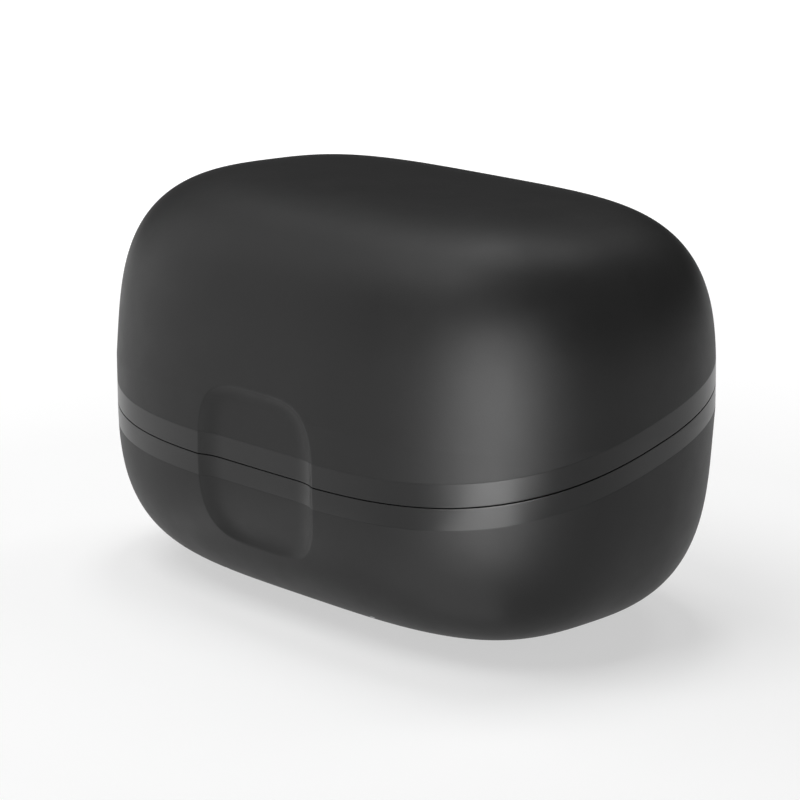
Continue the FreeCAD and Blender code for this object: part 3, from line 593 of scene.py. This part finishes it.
glow = paper_nodes.new("ShaderNodeMath")
glow.operation = "MULTIPLY"
paper_link(rays.outputs["Is Camera Ray"], seen.inputs[0])
paper_link(rays.outputs["Is Glossy Ray"], seen.inputs[1])
paper_link(seen.outputs[0], seen_too.inputs[0])
paper_link(rays.outputs["Is Transmission Ray"], seen_too.inputs[1])
paper_link(place.outputs["Object"], reach.inputs[0])
paper_link(reach.outputs["Value"], white.inputs["Value"])
paper_link(white.outputs["Result"], glow.inputs[0])
paper_link(seen_too.outputs[0], glow.inputs[1])
paper_link(glow.outputs[0], paper_shader.inputs["Emission Strength"])
floor.data.materials.append(paper)

# Studio: softboxes aimed at the middle of the case, and two low cards in front of
# it that lie on the floor and face up. The front ones show in the gloss alone, so
# that colours keep their plain level.
# name, turn from the front, height angle, distance, width, height, watts, gloss alone
SOFTBOXES = [
    ("front softbox", 40.0, 6.5, 1.0, 0.8, 0.48, 11.3, True),
    ("front fill", -22.0, 8.0, 1.0, 0.7, 0.6, 0.8, False),
    ("left softbox", -66.0, 15.7, 0.9, 0.54, 0.86, 2.4, False),
    ("rear fill", 122.0, 28.0, 0.9, 0.7, 0.5, 0.35, False),
    ("key softbox", -20.0, 62.0, 0.8, 0.45, 0.45, 3.0, False),
    ("overhead left", -93.7, 64.8, 0.8, 0.12, 0.62, 0.9, False),
    ("overhead back", -140.0, 78.0, 0.8, 0.16, 0.3, 1.7, False),
    ("overhead rear", 176.0, 58.0, 0.8, 0.2, 0.3, 0.8, False),
]
# name, turn, distance, width, length, watts
LOW_CARDS = [
    ("left card", -28.0, 0.14, 0.14, 0.12, 0.012),
    ("scoop card", -14.0, 0.05, 0.05, 0.024, 0.0022),
    ("foot card", 40.0, 0.066, 0.036, 0.05, 0.005),
    ("near card", 48.0, 0.119, 0.047, 0.097, 0.075),
    ("far card", 44.0, 0.266, 0.19, 0.234, 1.9),
]


def studio_lamp(name, place, turned, width, height, watts, gloss_alone):
    data = bpy.data.lights.new(name, "AREA")
    data.shape = "RECTANGLE"
    data.size, data.size_y = width, height
    data.energy = watts
    lamp = bpy.data.objects.new(name, data)
    lamp.location = place
    lamp.rotation_euler = turned
    lamp.visible_camera = False
    lamp.visible_diffuse = not gloss_alone
    bpy.context.scene.collection.objects.link(lamp)


for name, turn, rise, distance, width, height, watts, gloss_alone in SOFTBOXES:
    turn, rise = math.radians(turn), math.radians(rise)
    way = Vector((math.sin(turn) * math.cos(rise), -math.cos(turn) * math.cos(rise), math.sin(rise)))
    studio_lamp(name, Vector((0, 0, 0.033)) + way * distance, way.to_track_quat("Z", "Y").to_euler(),
                width, height, watts, gloss_alone)
for name, turn, distance, width, length, watts in LOW_CARDS:
    turn = math.radians(turn)
    studio_lamp(name, (math.sin(turn) * distance, -math.cos(turn) * distance, 0.002), (math.pi, 0, turn),
                width, length, watts, True)

world = bpy.data.worlds.new("studio")
bpy.context.scene.world = world
world.use_nodes = True
sky = world.node_tree.nodes["Background"]
sky.inputs["Color"].default_value = (1, 1, 1, 1)
sky.inputs["Strength"].default_value = 0.02

# Camera at the photograph's angle
camera_data = bpy.data.cameras.new("camera")
camera_data.sensor_width = 36.0
camera_data.lens = 122.46
camera_data.shift_x = -0.0105
camera_data.shift_y = -0.0307
camera = bpy.data.objects.new("camera", camera_data)
azimuth, elevation, roll = math.radians(42.962), math.radians(13.585), math.radians(1.943)
back = Vector((math.sin(azimuth) * math.cos(elevation), -math.cos(azimuth) * math.cos(elevation), math.sin(elevation)))
aim = Vector((0, 0, 0.0345))
turn = back.to_track_quat("Z", "Y").to_matrix().to_4x4()
camera.matrix_world = Matrix.Translation(aim + back * 0.4315) @ turn @ Matrix.Rotation(roll, 4, "Z")
bpy.context.scene.collection.objects.link(camera)
bpy.context.scene.camera = camera

bpy.context.scene.view_settings.view_transform = "Standard"
